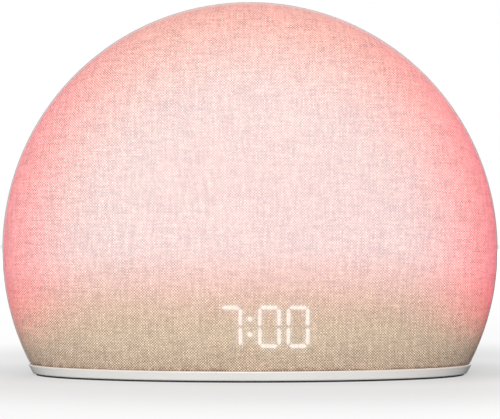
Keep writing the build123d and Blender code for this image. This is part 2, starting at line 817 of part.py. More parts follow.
with BuildPart() as speaker_cloth:
    # acoustic cloth, clamped between flange and collar
    extrude(discs(upright(speaker_seat), [(0, speaker_height)], collar_outer), amount=-grille_cloth)
    extrude(discs(upright(speaker_seat), speaker_screw_places, screw_hole), amount=-grille_cloth,
            mode=Mode.SUBTRACT)
finish(speaker_cloth, "speaker_cloth")

enclosure_inner = collar_outer + enclosure_gap
enclosure_outer = enclosure_inner + enclosure_wall
enclosure_front = speaker_seat - enclosure_depth
enclosure_pads = [
    (across * enclosure_inner / 2, speaker_height + up * enclosure_inner / 2)
    for across in (-1, 1)
    for up in (-1, 1)
]
speaker_terminal = (terminal_offset, speaker_height - terminal_drop)

with BuildPart() as speaker_enclosure:
    # closed cup behind the speaker, held between plate and rear shell
    extrude(discs(upright(enclosure_front), [(0, speaker_height)], enclosure_outer), amount=-rear_depth)
    extrude(discs(upright(enclosure_front + enclosure_wall), [(0, speaker_height)], enclosure_inner),
            amount=-rear_depth, mode=Mode.SUBTRACT)
    add(dome(rear_wall + clearance), mode=Mode.INTERSECT)
    extrude(discs(upright(enclosure_front), enclosure_pads, post_radius),
            amount=enclosure_front - plate_rear)
    extrude(discs(Plane.XY.offset(speaker_height - enclosure_outer), [(terminal_offset, speaker_cable_y)],
                  cable_radius + enclosure_hole_fit), amount=enclosure_inner / 2, mode=Mode.SUBTRACT)
finish(speaker_enclosure, "speaker_enclosure")

with BuildPart() as speaker_terminals:
    extrude(blocks(upright(speaker_seat - flange_thickness), [speaker_terminal], terminal_length,
                   terminal_height), amount=terminal_height)
finish(speaker_terminals, "speaker_terminals")

# ---- Rear shell ---------------------------------------------------------------------------------
main_board_rear = main_board_front + board_thickness
main_board_height_middle = main_board_bottom + main_board_height / 2
main_screw_places = [
    (across * (main_board_length / 2 - main_screw_inset),
     main_board_height_middle + up * (main_board_height / 2 - main_screw_inset))
    for across in (-1, 1)
    for up in (-1, 1)
]
tube_radius = head_radius + clearance + screw_tube_wall
button_y = belt_rear + button_set_back
button_board_top = top_z(button_board_length / 2, button_y, rear_wall) - button_board_drop
button_underside = button_board_top + spring_space
button_boss_radius = 2.6
button_screw_places = [(i * (button_board_length / 2 - main_screw_inset), button_y) for i in (-1, 0, 1)]
inlet_height = base_top + inlet_rise
rocker_height = base_top + rocker_rise
hinge_y = main_board_rear + hinge_behind_board
hinge_lug_height = 6.0
hinge_lug_reach = 2.0               # material of the lugs in front of the pin
lug_offset = rocker_width / 2 + rocker_gap + lug_thickness / 2
lug_places = [
    (side * rocker_spread + flank * lug_offset, rocker_height)
    for side in (-1, 1)
    for flank in (-1, 1)
]
button_corner = 3.0
button_places = [(-button_spread, button_y), (button_spread, button_y)]

with BuildPart() as rear_shell:
    # features inside, drawn long and trimmed within the wall
    extrude(discs(upright(cloth_rear), [(0, speaker_height)], collar_outer), amount=-rear_depth)
    extrude(discs(upright(cloth_rear), [(0, speaker_height)], collar_inner), amount=-rear_depth,
            mode=Mode.SUBTRACT)
    extrude(discs(upright(case_seat_front), case_screw_places, tube_radius), amount=-rear_depth)
    extrude(discs(upright(main_board_rear), main_screw_places, standoff_radius), amount=-rear_depth)
    extrude(discs(Plane.XY.offset(button_board_top), button_screw_places, button_boss_radius),
            amount=dome_radius)
    extrude(blocks(upright(hinge_y - hinge_lug_reach), lug_places, lug_thickness, hinge_lug_height),
            amount=-rear_depth)
    add(dome(rear_wall / 2), mode=Mode.INTERSECT)
    add(bowl(0, rear_wall, belt_rear, 1))
    # speaker grille
    with BuildSketch(upright(cloth_rear)):
        with Locations((0, speaker_height)):
            Circle(grille_hole_radius)
            for count in range(1, grille_rings + 1):
                with PolarLocations(count * grille_hole_pitch, 6 * count):
                    Circle(grille_hole_radius)
    extrude(amount=-rear_depth, mode=Mode.SUBTRACT)
    # deep holes of the case screws
    extrude(discs(upright(case_seat_rear), case_screw_places, head_radius + clearance),
            amount=-rear_depth, mode=Mode.SUBTRACT)
    extrude(discs(upright(case_seat_front), case_screw_places, screw_hole), amount=-case_seat,
            mode=Mode.SUBTRACT)
    # pilot holes
    extrude(discs(upright(main_board_rear), main_screw_places, screw_hole),
            amount=-(boss_height + pilot_spare), mode=Mode.SUBTRACT)
    extrude(discs(upright(cloth_rear), speaker_screw_places, screw_hole), amount=-collar_reach,
            mode=Mode.SUBTRACT)
    extrude(discs(Plane.XY.offset(button_board_top), button_screw_places, screw_hole),
            amount=button_board_drop, mode=Mode.SUBTRACT)
    # openings for the inlet, rockers, their hinge pins and the buttons
    extrude(discs(upright(inlet_face - inlet_nose), [(0, inlet_height)], inlet_radius + clearance),
            amount=-rear_depth, mode=Mode.SUBTRACT)
    with BuildSketch(upright(hinge_y)):
        with Locations((-rocker_spread, rocker_height), (rocker_spread, rocker_height)):
            SlotOverall(rocker_length + 2 * rocker_gap, rocker_width + 2 * rocker_gap, rotation=90)
    extrude(amount=-rear_depth, mode=Mode.SUBTRACT)
    extrude(discs(Plane.YZ, [(hinge_y, rocker_height)], hinge_pin_radius + hinge_fit),
            amount=rocker_spread + 2 * lug_offset, both=True, mode=Mode.SUBTRACT)
    with BuildSketch(Plane.XY.offset(button_underside)):
        with Locations(*button_places):
            RectangleRounded(button_length + 2 * button_gap, button_width + 2 * button_gap,
                             button_corner + button_gap)
    extrude(amount=dome_radius, mode=Mode.SUBTRACT)
finish(rear_shell, "rear_shell")

with BuildPart() as case_screws:
    add(screws(rearward(case_seat_rear), mirrored(case_screw_places), case_seat + boss_height))
finish(case_screws, "case_screws")

# ---- Main board and DC inlet --------------------------------------------------------------------
with BuildPart() as main_board:
    with BuildSketch(upright(main_board_rear)):
        with Locations((0, main_board_height_middle)):
            RectangleRounded(main_board_length, main_board_height, board_thickness)
        with Locations(*main_screw_places):
            Circle(screw_hole, mode=Mode.SUBTRACT)
    extrude(amount=board_thickness)
finish(main_board, "main_board")

with BuildPart() as main_board_screws:
    add(screws(upright(main_board_front), main_screw_places, board_thickness + boss_height))
finish(main_board_screws, "main_board_screws")

shield_place = (-4.0, inlet_height)
shield_length = 20.0
shield_height = 16.0
shield_depth = 3.0
shield_skin = 0.4
shield_corner = 0.8
with BuildPart() as board_shield:
    # pressed lid over the radio and processor
    extrude(blocks(upright(main_board_front), [shield_place], shield_length, shield_height),
            amount=shield_depth)
    fillet(board_shield.edges().filter_by(Axis.Y), radius=shield_corner)
    extrude(blocks(upright(main_board_front), [shield_place], shield_length - 2 * shield_skin,
                   shield_height - 2 * shield_skin), amount=shield_depth - shield_skin,
            mode=Mode.SUBTRACT)
finish(board_shield, "board_shield")

chip_places = [(30.0, rocker_height), (-24.0, inlet_height), shield_place]
main_chip = 7.0
main_chip_height = 1.2
main_chip_edge = 0.2
with BuildPart() as board_chips:
    extrude(blocks(upright(main_board_front), chip_places, main_chip, main_chip), amount=main_chip_height)
    chamfer(board_chips.faces().filter_by(Axis.Y).group_by(Axis.Y)[0].edges(),
            length=main_chip_edge)
finish(board_chips, "board_chips")

capacitor_radius = 3.15
capacitor_height = 8.0
capacitor_gap = 2.0
capacitor_edge = 0.4
capacitor_x = main_board_length / 2 - capacitor_inset
capacitor_places = [
    (capacitor_x, rocker_height + up * (capacitor_radius + capacitor_gap / 2)) for up in (-1, 1)
]
with BuildPart() as board_capacitors:
    extrude(discs(upright(main_board_front), capacitor_places, capacitor_radius), amount=capacitor_height)
    fillet(board_capacitors.edges().group_by(Axis.Y)[0], radius=capacitor_edge)
finish(board_capacitors, "board_capacitors")

connector_row = main_board_bottom + main_board_height - connector_height - connector_inset
cable_connectors = {
    "lamp": (led_window[0], connector_row),
    "buttons": (led_window[0] + connector_length + window_margin, connector_row),
    "speaker": (speaker_terminal[0], connector_row),
    "display": display_slot,
}
with BuildPart() as board_connectors:
    extrude(blocks(upright(main_board_front), list(cable_connectors.values()), connector_length,
                   connector_height), amount=connector_depth)
finish(board_connectors, "board_connectors")

inlet_body_rear = inlet_face - inlet_nose
with BuildPart() as dc_inlet:
    # barrel socket: block on the board, and a round nose in the shell's hole
    extrude(blocks(rearward(main_board_rear), [(0, inlet_height)], inlet_body_width, inlet_body_height),
            amount=inlet_body_rear - main_board_rear)
    fillet(dc_inlet.edges().filter_by(Axis.Y), radius=inlet_edge)
    extrude(discs(rearward(inlet_body_rear), [(0, inlet_height)], inlet_radius), amount=inlet_nose)
    extrude(discs(rearward(inlet_face), [(0, inlet_height)], inlet_bore), amount=-inlet_depth,
            mode=Mode.SUBTRACT)
finish(dc_inlet, "dc_inlet")

inlet_pin_setback = 1.0
inlet_pin_edge = 0.3
with BuildPart() as dc_inlet_pin:
    extrude(discs(rearward(inlet_face - inlet_depth), [(0, inlet_height)], inlet_pin_radius),
            amount=inlet_depth - inlet_pin_setback)
    fillet(dc_inlet_pin.edges().group_by(Axis.Y)[-1], radius=inlet_pin_edge)
finish(dc_inlet_pin, "dc_inlet_pin")

# ---- Top buttons --------------------------------------------------------------------------------
switch_bore_depth = plunger_sunk + button_travel + hole_fit
lip_inset = rear_wall + clearance

with BuildPart() as button_board:
    with BuildSketch(Plane.XY.offset(button_board_top)):
        with Locations((0, button_y)):
            RectangleRounded(button_board_length, button_board_width, board_thickness)
        with Locations(*button_screw_places):
            Circle(screw_hole, mode=Mode.SUBTRACT)
    extrude(amount=-board_thickness)
finish(button_board, "button_board")

with BuildPart() as button_board_screws:
    add(screws(downward(button_board_top - board_thickness), from_below(button_screw_places),
               board_thickness + button_board_drop - clearance))
finish(button_board_screws, "button_board_screws")

with BuildPart() as button_switches:
    # bodies of the two push switches
    extrude(blocks(Plane.XY.offset(button_board_top), button_places, switch_size, switch_size),
            amount=switch_height)
    extrude(discs(Plane.XY.offset(button_board_top + switch_height), button_places,
                  plunger_radius + hole_fit), amount=-switch_bore_depth, mode=Mode.SUBTRACT)
finish(button_switches, "button_switches")

button_connector = (-button_spread - switch_size, button_y)
with BuildPart() as button_connector_block:
    extrude(blocks(Plane.XY.offset(button_board_top - board_thickness), [button_connector],
                   connector_length, connector_height), amount=-connector_depth)
finish(button_connector_block, "button_connector")


def pad(x, grow):
    """Rounded outline of a button at its underside, wider by grow all round."""
    with BuildSketch(Plane.XY.offset(button_underside)) as outline:
        with Locations((x, button_y)):
            RectangleRounded(button_length + 2 * grow, button_width + 2 * grow, button_corner + grow)
    return outline.sketch


def button_lip_ring(x):
    """Lip that bears on the inside of the shell."""
    with BuildPart() as lip:
        extrude(pad(x, button_lip), amount=dome_radius)
        add(dome(lip_inset), mode=Mode.INTERSECT)
        add(dome(lip_inset + button_lip_thickness), mode=Mode.SUBTRACT)
    return lip.part


def button(x):
    """Top button: a pad that follows the shell's curve, its lip, and the stem on the switch."""
    plunger_top = button_board_top + switch_height + plunger_rise
    with BuildPart() as cap:
        extrude(pad(x, 0), amount=dome_radius)
        add(dome(-button_proud), mode=Mode.INTERSECT)
        fillet(cap.faces().sort_by(Axis.Z)[-1].edges(), radius=button_proud / 2)
        add(button_lip_ring(x))
        extrude(discs(Plane.XY.offset(button_underside), [(x, button_y)], stem_radius),
                amount=plunger_top - button_underside)
    return cap.part


def plunger(x):
    """Plunger of a push switch, under the button's stem."""
    with BuildPart() as rod:
        extrude(discs(Plane.XY.offset(button_board_top + switch_height - plunger_sunk), [(x, button_y)],
                      plunger_radius), amount=plunger_sunk + plunger_rise)
    return rod.part


def spring(x):
    """Coil spring between the board and the button's underside."""
    low = button_board_top + spring_wire / 2 + hole_fit
    tall = spring_space - spring_wire - 2 * hole_fit
    with BuildPart() as coil:
        with BuildLine() as turns:
            Helix(pitch=tall / spring_turns, height=tall, radius=spring_radius, center=(x, button_y, low))
        with BuildSketch(Plane(origin=turns.line @ 0, z_dir=turns.line % 0)):
            Circle(spring_wire / 2)
        sweep(is_frenet=True)
    return coil.part


for side, name in ((-1, "left"), (1, "right")):
    with BuildPart() as top_button:
        add(button(side * button_spread))
    finish(top_button, f"button_{name}")
    with BuildPart() as switch_plunger:
        add(plunger(side * button_spread))
    finish(switch_plunger, f"switch_plunger_{name}")
    with BuildPart() as button_spring:
        add(spring(side * button_spread))
    finish(button_spring, f"button_spring_{name}")

# ---- Rear rockers -------------------------------------------------------------------------------
rocker_plunger_height = 0.6
rocker_front = main_board_rear + switch_height + rocker_plunger_height + rocker_switch_gap
rocker_switch_places = [
    (side * rocker_spread, rocker_height + end * rocker_switch_pitch / 2)
    for side in (-1, 1)
    for end in (-1, 1)
]


def rocker(x):
    """Rocker that follows the shell's curve, bored for its hinge pin."""
    with BuildPart() as key:
        with BuildSketch(upright(rocker_front)):
            with Locations((x, rocker_height)):
                SlotOverall(rocker_length, rocker_width, rotation=90)
        extrude(amount=-rear_depth)
        add(dome(-rocker_proud), mode=Mode.INTERSECT)
        fillet(key.faces().sort_by(Axis.Y)[-1].edges(), radius=rocker_proud / 2)
        extrude(discs(Plane.YZ.offset(x), [(hinge_y, rocker_height)], hinge_pin_radius + hinge_fit),
                amount=rocker_width, both=True, mode=Mode.SUBTRACT)
    return key.part


for side, name in ((-1, "volume_rocker"), (1, "brightness_rocker")):
    with BuildPart() as rear_rocker:
        add(rocker(side * rocker_spread))
    finish(rear_rocker, name)

with BuildPart() as rocker_pins:
    for side in (-1, 1):
        extrude(discs(Plane.YZ.offset(side * rocker_spread), [(hinge_y, rocker_height)], hinge_pin_radius),
                amount=lug_offset + lug_thickness / 2, both=True)
finish(rocker_pins, "rocker_pins")

with BuildPart() as rocker_switches:
    extrude(blocks(rearward(main_board_rear), mirrored(rocker_switch_places), switch_size, switch_size),
            amount=switch_height)
    extrude(discs(rearward(main_board_rear + switch_height), mirrored(rocker_switch_places),
                  plunger_radius), amount=rocker_plunger_height)
finish(rocker_switches, "rocker_switches")

# ---- Cables inside the case ---------------------------------------------------------------------
display_connector = (display_slot[0], display_height - digit_height / 4)
with BuildPart() as display_connector_block:
    extrude(blocks(rearward(display_board_rear), mirrored([display_connector]), connector_length,
                   connector_height), amount=connector_depth)
finish(display_connector_block, "display_connector")

with BuildPart() as led_connector_block:
    extrude(blocks(rearward(plate_front), mirrored([led_window]), connector_length, connector_height),
            amount=plate_thickness + connector_depth)
finish(led_connector_block, "led_connector")

plug_face = main_board_front - connector_depth
lead_loop = 10.0                    # how far the lamp's cable stands off the main board
lamp_x = led_window[0]
lamp_turn = plug_face - lead_loop
buttons_x = cable_connectors["buttons"][0]
display_x, display_end = display_slot
display_start = display_connector[1]
display_plug = display_board_rear + connector_depth
speaker_x, speaker_start = speaker_terminal
terminal_face = speaker_seat - flange_thickness - terminal_height
button_plug = button_board_top - board_thickness - connector_depth
drop_x = buttons_x - 22.0           # where the button cable passes the speaker's enclosure
drop_y = plug_face - 13.0
drop_top = speaker_height + 20.0
drop_foot = speaker_height - 18.0
display_bend = 35.0
speaker_bends = [5.0, 6.0]
button_bends = [9.0, 20.0, 20.0, 5.8]
lamp_bends = [0.9 * (lamp_turn - plate_rear - connector_depth), 6.0]
button_lead_drop = 12.0

with BuildPart() as led_cable:
    add(cable("led_cable", [
        (lamp_x, plate_rear + connector_depth, led_window[1]),
        (lamp_x, lamp_turn, led_window[1]),
        (lamp_x, lamp_turn, connector_row),
        (lamp_x, plug_face, connector_row),
    ], lamp_bends))
finish(led_cable, "led_cable")

with BuildPart() as display_cable:
    add(cable("display_cable", [
        (display_x, display_plug, display_start),
        (display_x, display_plug / 2, display_start),
        (display_x, plate_rear + 2 * plate_thickness, display_end),
        (display_x, plug_face, display_end),
    ], [display_bend, display_bend]))
finish(display_cable, "display_cable")

with BuildPart() as button_cable:
    add(cable("button_cable", [
        (button_connector[0], button_y, button_plug),
        (button_connector[0], button_y, button_plug - button_lead_drop),
        (drop_x, drop_y, drop_top),
        (drop_x, drop_y, drop_foot),
        (buttons_x, drop_y, connector_row),
        (buttons_x, plug_face, connector_row),
    ], button_bends))
finish(button_cable, "button_cable")

with BuildPart() as speaker_cable:
    add(cable("speaker_cable", [
        (speaker_x, terminal_face, speaker_start),
        (speaker_x, speaker_cable_y, speaker_start),
        (speaker_x, speaker_cable_y, connector_row),
        (speaker_x, plug_face, connector_row),
    ], speaker_bends))
finish(speaker_cable, "speaker_cable")
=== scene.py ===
"""Looks of the sunrise alarm clock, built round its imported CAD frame. Metres, +Z up, front towards -Y."""

import json
import math

import bmesh
import bpy
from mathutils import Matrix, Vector


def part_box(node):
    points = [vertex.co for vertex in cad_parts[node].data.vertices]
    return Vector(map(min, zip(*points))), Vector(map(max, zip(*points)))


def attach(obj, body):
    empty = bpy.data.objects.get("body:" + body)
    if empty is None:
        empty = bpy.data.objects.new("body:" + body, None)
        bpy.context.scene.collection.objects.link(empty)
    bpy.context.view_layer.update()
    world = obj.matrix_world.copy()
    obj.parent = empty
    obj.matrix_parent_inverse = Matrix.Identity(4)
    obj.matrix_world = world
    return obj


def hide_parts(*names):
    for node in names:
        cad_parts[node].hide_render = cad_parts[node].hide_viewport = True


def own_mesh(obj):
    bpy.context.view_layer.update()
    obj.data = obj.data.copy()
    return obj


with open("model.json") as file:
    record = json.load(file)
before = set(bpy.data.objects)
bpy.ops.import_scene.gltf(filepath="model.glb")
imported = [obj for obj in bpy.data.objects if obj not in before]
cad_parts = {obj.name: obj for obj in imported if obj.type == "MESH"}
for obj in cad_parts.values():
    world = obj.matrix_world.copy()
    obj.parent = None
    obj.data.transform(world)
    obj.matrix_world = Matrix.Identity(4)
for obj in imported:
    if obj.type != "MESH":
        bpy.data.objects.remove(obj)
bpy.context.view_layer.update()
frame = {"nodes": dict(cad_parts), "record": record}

MM = 0.001

# ---- Camera -------------------------------------------------------------------------------------
IMAGE_WIDTH = 500
FOCAL_PIXELS = 2010.9
SENSOR_WIDTH = 36.0
EYE = Vector((0.0, -0.820, 0.0672))


def make_camera():
    """Level camera in front of the clock, a little above its middle."""
    data = bpy.data.cameras.new("camera")
    data.sensor_width = SENSOR_WIDTH
    data.lens = FOCAL_PIXELS * SENSOR_WIDTH / IMAGE_WIDTH
    camera = bpy.data.objects.new("camera", data)
    bpy.context.scene.collection.objects.link(camera)
    camera.location = EYE
    camera.rotation_euler = (math.radians(90), 0, 0)
    bpy.context.scene.camera = camera


make_camera()

# ---- Sizes read from the frame ------------------------------------------------------------------
cover_low, cover_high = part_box("fabric_cover")
guide_low, guide_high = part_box("lit_guides")
cloth_radius = cover_high.x
centre_z = cover_high.z - cloth_radius
seam_z = cover_low.z
belt_back = cover_high.y
belt_front = 0.0                    # the front's bulge starts here
bulge_depth = belt_front - cover_low.y
display_z = (guide_low.z + guide_high.z) / 2


# ---- Node helpers -------------------------------------------------------------------------------
class Recipe:
    """Node tree of one material, with a short call for each kind of node that it uses."""

    def __init__(self, name, **settings):
        self.material = bpy.data.materials.new(name)
        self.material.use_nodes = True
        self.tree = self.material.node_tree
        self.shader = self.tree.nodes["Principled BSDF"]
        for socket, value in settings.items():
            self.shader.inputs[socket.replace("_", " ")].default_value = value

    def node(self, kind, *inputs, **settings):
        """A node of that kind, whose inputs are values, or sockets to link from; None skips one."""
        made = self.tree.nodes.new("ShaderNode" + kind)
        for name, value in settings.items():
            setattr(made, name, value)
        for socket, value in zip(made.inputs, inputs):
            if isinstance(value, bpy.types.NodeSocket):
                self.tree.links.new(value, socket)
            elif value is not None:
                socket.default_value = value
        return made

    def link(self, output, socket_name):
        self.tree.links.new(output, self.shader.inputs[socket_name])

    def math(self, operation, *inputs, clamp=False):
        return self.node("Math", *inputs, operation=operation, use_clamp=clamp).outputs[0]

    def apart(self, value, other):
        """How far apart two values are."""
        return self.math("ABSOLUTE", self.math("SUBTRACT", value, other))

    def distance(self, across, up):
        """Distance that two offsets at right angles make."""
        squares = [self.math("POWER", offset, 2.0) for offset in (across, up)]
        return self.math("SQRT", self.math("ADD", *squares))

    def fade(self, value, start, end, low=0.0, high=1.0):
        """Smooth step of a value from low at start to high at end."""
        step = self.node("MapRange", value, start, end, low, high, interpolation_type="SMOOTHSTEP")
        return step.outputs[0]

    def blend(self, share, low, high, kind="MIX"):
        """Colour between low and high, by a share."""
        mix = self.node("Mix", data_type="RGBA", blend_type=kind)
        for socket, value in zip((mix.inputs[0], mix.inputs[6], mix.inputs[7]), (share, low, high)):
            if isinstance(value, bpy.types.NodeSocket):
                self.tree.links.new(value, socket)
            elif isinstance(value, tuple):
                socket.default_value = (*value, 1.0)
            else:
                socket.default_value = value
        return mix.outputs[2]

    def scale(self, colour, factor):
        """Colour times a factor."""
        return self.node("VectorMath", colour, (0, 0, 0), None, factor, operation="SCALE").outputs[0]

    def place(self):
        """The point's place in the frame, in metres."""
        return self.node("TexCoord").outputs["Object"]

    def noise(self, vector, scale, detail=2.0, roughness=0.5):
        return self.node("TexNoise", vector, None, scale, detail, roughness).outputs[0]

    def bump(self, height, distance, strength):
        bump = self.node("Bump")
        bump.inputs["Strength"].default_value = strength
        bump.inputs["Distance"].default_value = distance
        self.tree.links.new(height, bump.inputs["Height"])
        self.link(bump.outputs[0], "Normal")


BLACK = (0.0, 0.0, 0.0)
WHITE = (1.0, 1.0, 1.0)
NOISE_BAND = (0.3, 0.7)             # where most values of a noise lie
GRAIN_BAND = (0.2, 0.8)             # a wider band, for a softer change

# ---- Cloth: the weave ---------------------------------------------------------------------------
THREAD = 0.545 * MM                 # width of one thread of the plain weave
THREAD_WANDER = 0.17 * MM           # how far a thread strays from its line
WANDER_SCALE = 420.0                # scales of noises are in waves per metre
WANDER_ROUGHNESS = 0.6
THREAD_STEP = 3.7                   # from thread to thread in the noise that shades them
THREAD_EDGE = 0.35                  # softness of the edge between warp and weft, 0 for a sharp one
THREAD_CROWN = 0.5                  # under 1 for threads that are full, over 1 for pointed ones
THREAD_RELIEF = 0.12 * MM
THREAD_RELIEF_SHARE = 0.8
WEFT_COLOUR = (0.355, 0.248, 0.162)
WARP_COLOUR = (0.855, 0.675, 0.53)
WARP_SLUB_LENGTH = 11.0 * MM        # how far a lighter or darker stretch of a thread runs
WEFT_SLUB_LENGTH = 9.0 * MM
WARP_SHADES = (0.84, 1.16)
WEFT_SHADES = (0.74, 1.26)
WARP_LAYER = 0.0                    # warp and weft take their shades from two layers of one noise
WEFT_LAYER = 50.0
CLOUD_SIZE = 2.4 * MM               # patches of lighter and darker yarn
CLOUD_SHADES = (0.97, 1.03)
CROSSING_SHADES = (0.86, 1.14)      # from one crossing of two threads to the next


def thread_crossing(recipe, u, v, thread):
    """Wave over a plain weave: above 0 where one set of threads is on top, and below 0 where the other is."""
    waves = [recipe.math("SINE", recipe.math("MULTIPLY", along, math.pi / thread)) for along in (u, v)]
    return recipe.math("MULTIPLY", *waves)


def slub_shade(recipe, across, along, length, layer, shades):
    """Shade of each thread, which changes along it, from distances across the threads and along them."""
    number = recipe.math("FLOOR", recipe.math("DIVIDE", across, THREAD))
    spot = recipe.node("CombineXYZ", recipe.math("MULTIPLY", number, THREAD_STEP),
                       recipe.math("DIVIDE", along, length), layer).outputs[0]
    return recipe.fade(recipe.noise(spot, 1.0), *NOISE_BAND, *shades)


def plain_weave(recipe):
    """Where the warp is on top, how high the threads stand, and how light or dark the yarn is."""
    weave = recipe.node("UVMap", uv_map="weave").outputs[0]
    wander = recipe.node("TexNoise", weave, None, WANDER_SCALE, 2.0, WANDER_ROUGHNESS)
    shift = recipe.node("VectorMath", wander.outputs["Color"], (0.5, 0.5, 0.5), operation="SUBTRACT")
    moved = recipe.node("VectorMath", shift.outputs[0], (THREAD_WANDER * 2,) * 3, weave,
                        operation="MULTIPLY_ADD")
    u, v, _ = recipe.node("SeparateXYZ", moved.outputs[0]).outputs
    crossing = thread_crossing(recipe, u, v, THREAD)
    warp_up = recipe.fade(crossing, -THREAD_EDGE, THREAD_EDGE)
    crown = recipe.math("POWER", recipe.math("ABSOLUTE", crossing), THREAD_CROWN)

    warp = slub_shade(recipe, u, v, WARP_SLUB_LENGTH, WARP_LAYER, WARP_SHADES)
    weft = slub_shade(recipe, v, u, WEFT_SLUB_LENGTH, WEFT_LAYER, WEFT_SHADES)
    slub = recipe.math("MULTIPLY_ADD", warp_up, recipe.math("SUBTRACT", warp, weft), weft)
    cloud = recipe.fade(recipe.noise(weave, 1 / CLOUD_SIZE, roughness=1.0), *NOISE_BAND, *CLOUD_SHADES)
    cell = recipe.node("VectorMath", moved.outputs[0], (THREAD,) * 3, operation="SNAP").outputs[0]
    fleck = recipe.fade(recipe.node("TexWhiteNoise", cell).outputs[0], 0.0, 1.0, *CROSSING_SHADES)
    shade = recipe.math("MULTIPLY", recipe.math("MULTIPLY", slub, cloud), fleck)
    return warp_up, crown, shade


# ---- Cloth: the lit time ------------------------------------------------------------------------
DIGIT_LIGHT = (0.47, 0.45, 0.47)
HALO_LIGHT = (0.02, 0.053, 0.068)   # round the lit bars
HALO_REACH = 2.4 * MM
DIGIT_DEPTHS = (-10 * MM, -20 * MM)  # the digits show on the front only, and come up between these depths

DIGIT_HALF_HEIGHT = 7.475 * MM      # middle of a digit to the middle of its top bar
DIGIT_HALF_WIDTH = 3.725 * MM
BAR_HALF_WIDTH = 0.725 * MM
BAR_TIP_GAP = 0.32 * MM
BAR_BLUR = 0.30 * MM                # how far the cloth spreads a bar's edge
COLON_OFFSET = 7.46 * MM
DIGIT_PITCH = 11.1 * MM
DOT_RADIUS = 0.95 * MM
DOT_RISE = 3.0 * MM


def from_bar(recipe, along, across, half_length):
    """How far outside a bar with pointed ends, from distances to its middle along and across it."""
    tip = recipe.math("SUBTRACT", recipe.math("ADD", along, across), half_length)
    side = recipe.math("SUBTRACT", across, BAR_HALF_WIDTH)
    return recipe.math("MAXIMUM", tip, side)


def from_digit(recipe, x, z, middle, zero):
    """How far outside the bars of a lit 0, or of a lit 7, whose middle is at that x."""
    offset = recipe.math("SUBTRACT", x, middle)
    beside = recipe.math("ABSOLUTE", offset)
    rise = recipe.math("ABSOLUTE", z)
    from_cap = recipe.apart(rise if zero else z, DIGIT_HALF_HEIGHT)
    from_side = recipe.apart(beside if zero else offset, DIGIT_HALF_WIDTH)
    along_side = recipe.apart(rise, DIGIT_HALF_HEIGHT / 2)
    cap = from_bar(recipe, beside, from_cap, DIGIT_HALF_WIDTH - BAR_TIP_GAP)
    sides = from_bar(recipe, along_side, from_side, DIGIT_HALF_HEIGHT / 2 - BAR_TIP_GAP)
    return recipe.math("MINIMUM", cap, sides)


def from_dots(recipe, x, z):
    """How far outside the two dots of the colon."""
    up = recipe.apart(recipe.math("ABSOLUTE", z), DOT_RISE)
    return recipe.math("SUBTRACT", recipe.distance(x, up), DOT_RADIUS)


def from_time(recipe, x, z):
    """How far outside the lit bars and dots of 7:00."""
    up = recipe.math("SUBTRACT", z, display_z)
    away = from_digit(recipe, x, up, -COLON_OFFSET, zero=False)
    for zero in range(2):
        middle = COLON_OFFSET + zero * DIGIT_PITCH
        away = recipe.math("MINIMUM", away, from_digit(recipe, x, up, middle, zero=True))
    return recipe.math("MINIMUM", away, from_dots(recipe, x, up))


# ---- Cloth: the lamp's glow ---------------------------------------------------------------------
GLOW_MIDDLE = (0.34, 0.255, 0.35)
GLOW_TOP = (0.46, 0.15, 0.17)
GLOW_SIDE = (0.60, 0.08, 0.155)
GLOW_LOW = (0.10, 0.085, 0.065)     # warm light that is left behind the display
RIM_PAINTED_SHADE = (0.91, 0.81, 0.80)     # painted shade: share of the cloth's colour kept at the lit rim, darker and rosier there
RIM_START = 0.50 * cloth_radius     # from the dome's middle to where the rim's colour begins
RIM_END = 1.02 * cloth_radius
RIM_STEEPNESS = 1.35
SIDE_START = 0.3 * cloth_radius     # beside the middle line, where the top's colour turns to the side's
RED_FADE = (19.0 * MM, 47.0 * MM)   # heights between which the glow's red comes up
PALE_FADE = (21.0 * MM, 56.0 * MM)  # and its green and blue
RIM_FADE_DROP = 11.0 * MM           # how much lower the glow reaches at the rim
RED_LEAN = 0.08                     # how much redder the glow is towards the right
SEAM_PAINTED_SHADE = 0.91                   # painted shade: share of the cloth's colour kept where it turns in towards the base
SEAM_PAINTED_SHADE_HEIGHT = 3.0 * MM
MIDDLE_SWING = 0.50                 # how much more light the thin, dark weft lets through than the warp
RIM_SWING_CHANGE = -0.90            # and what the rim takes from that


def lit_cloth_colours(recipe, x, z, rim, yarn):
    """The cloth's colour from its yarn's, with painted shade at the lit rim and above the seam, and the
    colour of the glow that comes through it.
    """
    side = recipe.fade(recipe.math("ABSOLUTE", x), SIDE_START, cloth_radius)
    glow = recipe.blend(rim, GLOW_MIDDLE, recipe.blend(side, GLOW_TOP, GLOW_SIDE))
    level = recipe.math("MULTIPLY_ADD", rim, RIM_FADE_DROP, z)
    red, pale = recipe.fade(level, *RED_FADE), recipe.fade(level, *PALE_FADE)

    # painted shade: the cloth's colour darker and rosier towards the lit rim
    painted_rim_shade = recipe.blend(recipe.math("MULTIPLY", rim, red), WHITE, RIM_PAINTED_SHADE)
    # painted shade: the cloth darker just above the seam with the base
    painted_seam_darkening = recipe.fade(z, seam_z, seam_z + SEAM_PAINTED_SHADE_HEIGHT, SEAM_PAINTED_SHADE, 1.0)
    cloth = recipe.scale(recipe.blend(1.0, yarn, painted_rim_shade, "MULTIPLY"), painted_seam_darkening)

    leaning = recipe.math("MULTIPLY", red, recipe.math("MULTIPLY_ADD", x, RED_LEAN / cloth_radius, 1.0))
    fading = recipe.node("CombineColor", leaning, pale, pale).outputs[0]
    low = recipe.math("MULTIPLY", recipe.fade(z, seam_z, RED_FADE[0]), recipe.math("SUBTRACT", 1.0, red))
    glow = recipe.blend(1.0, glow, fading, "MULTIPLY")
    glow = recipe.blend(1.0, glow, recipe.blend(low, BLACK, GLOW_LOW), "ADD")
    return cloth, glow


